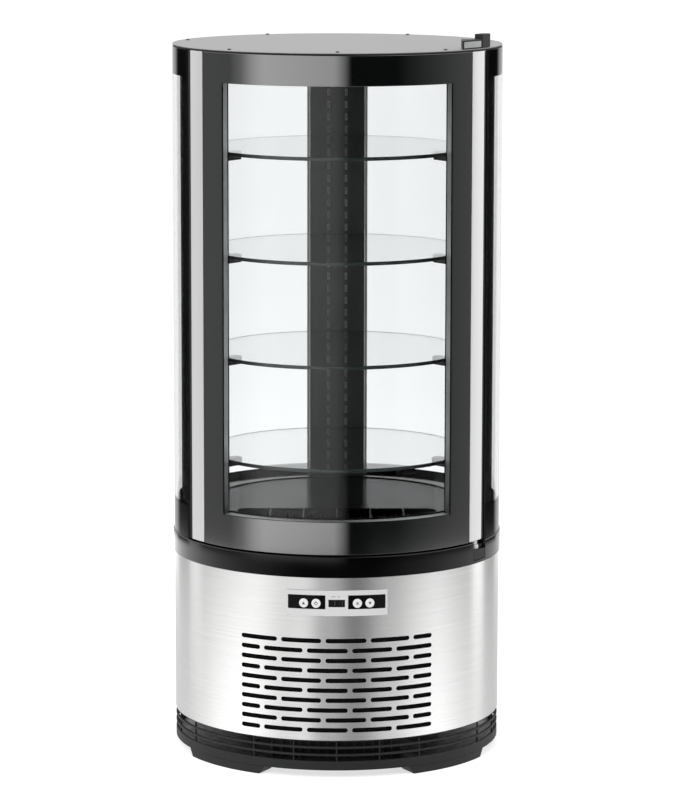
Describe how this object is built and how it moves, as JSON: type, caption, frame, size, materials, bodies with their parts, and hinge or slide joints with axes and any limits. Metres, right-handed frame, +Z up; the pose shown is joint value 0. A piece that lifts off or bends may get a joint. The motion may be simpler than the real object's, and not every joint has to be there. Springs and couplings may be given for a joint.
{
  "type": "refrigerated display case",
  "caption": "Round counter-top refrigerated display case: steel drum base with controls and vents, glazed cylinder with a curved hinged door and round glass shelves.",
  "frame": {"origin": "on the floor, on the axis of the drum, between the four feet", "axes": "+Z up, the door and the controls face -Y, +X is to the right of someone who faces the door"},
  "size_m": [0.452, 0.452, 0.9885],
  "materials": {
    "matt_black": "moulded or powder-coated, fine matt grain",
    "gloss_black": "gloss black",
    "brushed_steel": "brushed round the drum, satin",
    "aluminium": "satin anodised",
    "zinc": "plain zinc-coated sheet",
    "grey_paint": "light grey powder coat, fine grain",
    "black_paint": "black enamel",
    "glass": "clear float glass with a dark edge",
    "pale_plastic": "light grey plastic film and mouldings",
    "white_plastic": "white key caps",
    "display": "dark display lens",
    "board": "green circuit board",
    "rubber": "black extruded rubber",
    "copper": "drawn copper tube",
    "lamp": "frosted lamp cover"
  },
  "bodies": {
    "cabinet": {"base_plate": "zinc", "base_skirt": "matt_black", "cabin_floor": "gloss_black", "cabin_lamp": "lamp", "cable_gland": "matt_black", "collar_ring": "gloss_black", "compressor": "black_paint", "condenser": "aluminium", "control_fascia": "pale_plastic", "control_module": "board", "discharge_line": "copper", "display_lens": "display", "drip_tray": "pale_plastic", "evaporator": "aluminium", "evaporator_fan_frame": "matt_black", "fan_motor": "zinc", "fan_shroud": "matt_black", "filter_drier": "copper", "insulated_tub": "matt_black", "left_inner_pane": "glass", "left_outer_pane": "glass", "left_post": "matt_black", "left_shelf_bracket_1": "matt_black", "left_shelf_bracket_2": "matt_black", "left_shelf_bracket_3": "matt_black", "left_shelf_bracket_4": "matt_black", "liquid_line": "copper", "lower_hinge_bracket": "matt_black", "lower_hinge_pin": "aluminium", "rear_duct": "matt_black", "rear_panel": "matt_black", "right_inner_pane": "glass", "right_outer_pane": "glass", "right_post": "matt_black", "right_shelf_bracket_1": "matt_black", "right_shelf_bracket_2": "matt_black", "right_shelf_bracket_3": "matt_black", "right_shelf_bracket_4": "matt_black", "steel_shell": "brushed_steel", "suction_line": "copper", "top_cover": "grey_paint", "top_hood": "matt_black", "upper_hinge_bracket": "matt_black"},
    "door": {"door_outer_pane": "glass", "door_inner_pane": "glass", "door_handle_profile": "aluminium", "door_hinge_profile": "aluminium", "door_bottom_rail": "matt_black", "door_top_rail": "matt_black", "door_gasket": "rubber"},
    "condenser_fan": {"fan_blade": "matt_black"},
    "evaporator_fan": {"evaporator_fan_blade": "matt_black"},
    "shelf_1": {"glass_shelf_1": "glass"},
    "shelf_2": {"glass_shelf_2": "glass"},
    "shelf_3": {"glass_shelf_3": "glass"},
    "shelf_4": {"glass_shelf_4": "glass"},
    "key_1": {"button_1": "white_plastic"},
    "key_2": {"button_2": "white_plastic"},
    "key_3": {"button_3": "white_plastic"},
    "key_4": {"button_4": "white_plastic"}
  },
  "joints": [
    {"name": "door_swing", "type": "hinge", "parent": "cabinet", "child": "door", "pos_m": [0.18553, -0.11061, 0.6], "axis": [0, 0, 1], "range_deg": [0, 110]},
    {"name": "condenser_fan_spin", "type": "hinge", "parent": "cabinet", "child": "condenser_fan", "pos_m": [0, -0.126, 0.0867], "axis": [0, 1, 0], "continuous": true},
    {"name": "evaporator_fan_spin", "type": "hinge", "parent": "cabinet", "child": "evaporator_fan", "pos_m": [0, 0.09182, 0.29], "axis": [0, 0, 1], "continuous": true},
    {"name": "shelf_1_lift", "type": "slide", "parent": "cabinet", "child": "shelf_1", "axis": [0, 0, 1], "range_m": [0, 0.02]},
    {"name": "shelf_2_lift", "type": "slide", "parent": "cabinet", "child": "shelf_2", "axis": [0, 0, 1], "range_m": [0, 0.02]},
    {"name": "shelf_3_lift", "type": "slide", "parent": "cabinet", "child": "shelf_3", "axis": [0, 0, 1], "range_m": [0, 0.02]},
    {"name": "shelf_4_lift", "type": "slide", "parent": "cabinet", "child": "shelf_4", "axis": [0, 0, 1], "range_m": [0, 0.02]},
    {"name": "key_1_press", "type": "slide", "parent": "cabinet", "child": "key_1", "axis": [0.1951, 0.9808, 0], "range_m": [0, 0.0008], "stiffness_N_per_m": 1500},
    {"name": "key_2_press", "type": "slide", "parent": "cabinet", "child": "key_2", "axis": [0.1219, 0.9925, 0], "range_m": [0, 0.0008], "stiffness_N_per_m": 1500},
    {"name": "key_3_press", "type": "slide", "parent": "cabinet", "child": "key_3", "axis": [-0.1219, 0.9925, 0], "range_m": [0, 0.0008], "stiffness_N_per_m": 1500},
    {"name": "key_4_press", "type": "slide", "parent": "cabinet", "child": "key_4", "axis": [-0.1951, 0.9808, 0], "range_m": [0, 0.0008], "stiffness_N_per_m": 1500}
  ]
}
